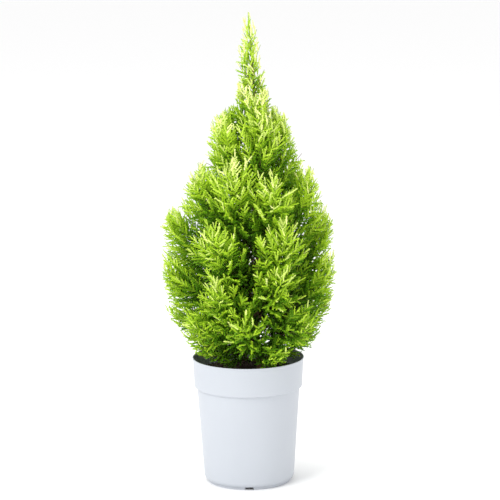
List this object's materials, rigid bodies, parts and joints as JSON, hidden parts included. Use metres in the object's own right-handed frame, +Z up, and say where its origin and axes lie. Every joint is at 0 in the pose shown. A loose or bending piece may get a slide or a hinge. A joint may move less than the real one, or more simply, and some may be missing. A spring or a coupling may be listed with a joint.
{
  "type": "potted monterey cypress",
  "caption": "Young golden monterey cypress with an upright feathery crown, whole in a pale round plastic nursery pot filled with peat.",
  "frame": {"origin": "middle of the pot's foot ring, on the surface that the pot stands on", "axes": "+Z up the trunk, +X to the right and -Y towards the viewer as in the picture"},
  "size_m": [0.2049, 0.2019, 0.55],
  "materials": {
    "pot_plastic": "pale bluish white moulded plastic, satin",
    "soil_peat": "dark brown crumbly peat",
    "trunk_bark": "orange-brown bark with fine grooves",
    "bough_bark": "orange-brown young bark",
    "needles": "golden yellow-green scale needles, matte"
  },
  "bodies": {
    "root": {"broad_1_bough": "bough_bark", "broad_1_foliage": "needles", "broad_2_bough": "bough_bark", "broad_2_foliage": "needles", "broad_3_bough": "bough_bark", "broad_3_foliage": "needles", "broad_4_bough": "bough_bark", "broad_4_foliage": "needles", "broad_5_bough": "bough_bark", "broad_5_foliage": "needles", "broad_6_bough": "bough_bark", "broad_6_foliage": "needles", "broad_7_bough": "bough_bark", "broad_7_foliage": "needles", "flank_1_foliage": "needles", "flank_2_foliage": "needles", "flank_3_foliage": "needles", "leader_foliage": "needles", "low_1_foliage": "needles", "low_2_foliage": "needles", "low_3_foliage": "needles", "low_4_foliage": "needles", "low_5_foliage": "needles", "low_6_foliage": "needles", "low_7_foliage": "needles", "middle_1_bough": "bough_bark", "middle_1_foliage": "needles", "middle_2_bough": "bough_bark", "middle_2_foliage": "needles", "middle_3_bough": "bough_bark", "middle_3_foliage": "needles", "middle_4_bough": "bough_bark", "middle_4_foliage": "needles", "middle_5_bough": "bough_bark", "middle_5_foliage": "needles", "middle_6_bough": "bough_bark", "middle_6_foliage": "needles", "pot": "pot_plastic", "shoulder_1_foliage": "needles", "shoulder_2_foliage": "needles", "shoulder_3_foliage": "needles", "shoulder_4_foliage": "needles", "shoulder_5_foliage": "needles", "skirt_1_foliage": "needles", "skirt_2_foliage": "needles", "skirt_3_foliage": "needles", "skirt_4_foliage": "needles", "soil": "soil_peat", "trunk": "trunk_bark", "upper_1_foliage": "needles", "upper_2_foliage": "needles", "upper_3_foliage": "needles", "upper_4_foliage": "needles", "upper_5_foliage": "needles", "upper_6_foliage": "needles", "upper_7_foliage": "needles"}
  },
  "joints": []
}
